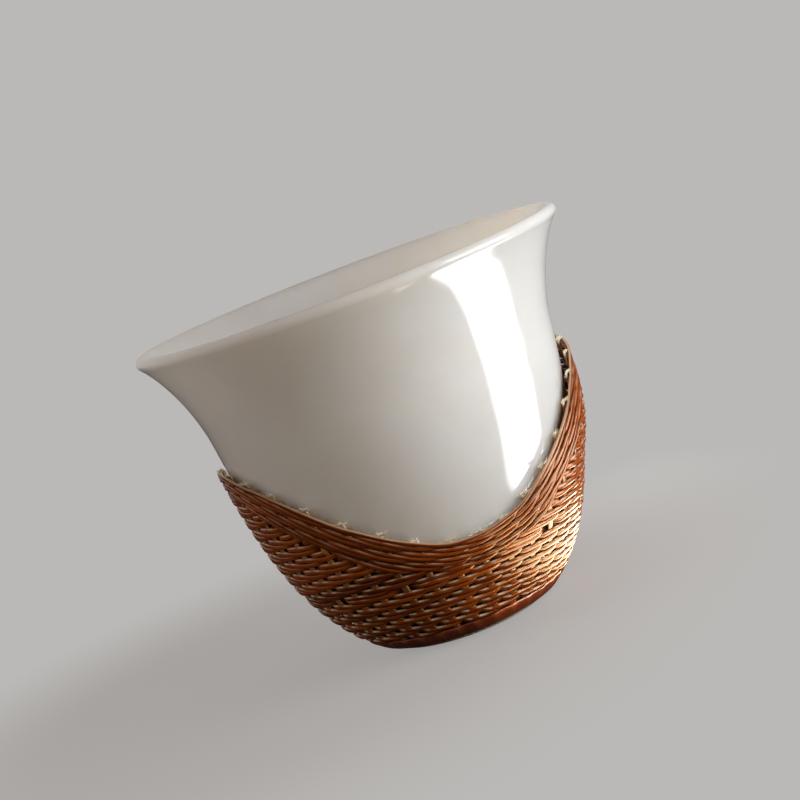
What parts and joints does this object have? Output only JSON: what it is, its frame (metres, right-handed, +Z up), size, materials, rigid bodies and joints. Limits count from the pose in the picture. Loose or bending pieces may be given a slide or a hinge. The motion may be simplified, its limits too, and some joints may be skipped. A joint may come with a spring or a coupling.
{
  "type": "tea cup",
  "caption": "Small flared porcelain tea cup without a handle, held in a tight sleeve of woven lacquered bamboo whose edge dips at the front.",
  "frame": {"origin": "centre of the foot ring, on the surface the cup stands on", "axes": "+Z up along the cup's axis; the low point of the sleeve's front edge faces -Y, its high sides face +X and -X"},
  "size_m": [0.072, 0.072, 0.059],
  "materials": {
    "porcelain": "white glossy glaze over fine, slightly translucent porcelain",
    "stake_bamboo": "split bamboo, lacquered, pale at the cut ends",
    "weft_bamboo": "fine split bamboo strands under glossy amber lacquer",
    "hoop_bamboo": "smooth bamboo strip under dark red-brown lacquer"
  },
  "bodies": {
    "root": {"porcelain_cup": "porcelain", "base_hoop": "hoop_bamboo", "stake_01": "stake_bamboo", "stake_02": "stake_bamboo", "stake_03": "stake_bamboo", "stake_04": "stake_bamboo", "stake_05": "stake_bamboo", "stake_06": "stake_bamboo", "stake_07": "stake_bamboo", "stake_08": "stake_bamboo", "stake_09": "stake_bamboo", "stake_10": "stake_bamboo", "stake_11": "stake_bamboo", "stake_12": "stake_bamboo", "stake_13": "stake_bamboo", "stake_14": "stake_bamboo", "stake_15": "stake_bamboo", "stake_16": "stake_bamboo", "stake_17": "stake_bamboo", "stake_18": "stake_bamboo", "stake_19": "stake_bamboo", "stake_20": "stake_bamboo", "stake_21": "stake_bamboo", "stake_22": "stake_bamboo", "stake_23": "stake_bamboo", "stake_24": "stake_bamboo", "stake_25": "stake_bamboo", "stake_26": "stake_bamboo", "stake_27": "stake_bamboo", "stake_28": "stake_bamboo", "stake_29": "stake_bamboo", "stake_30": "stake_bamboo", "stake_31": "stake_bamboo", "stake_32": "stake_bamboo", "stake_33": "stake_bamboo", "stake_34": "stake_bamboo", "stake_35": "stake_bamboo", "body_weft_1": "weft_bamboo", "body_weft_2": "weft_bamboo", "body_weft_3": "weft_bamboo", "border_weft_1": "weft_bamboo", "border_weft_2": "weft_bamboo", "packing_weft_left": "weft_bamboo", "packing_weft_right": "weft_bamboo"}
  },
  "joints": []
}
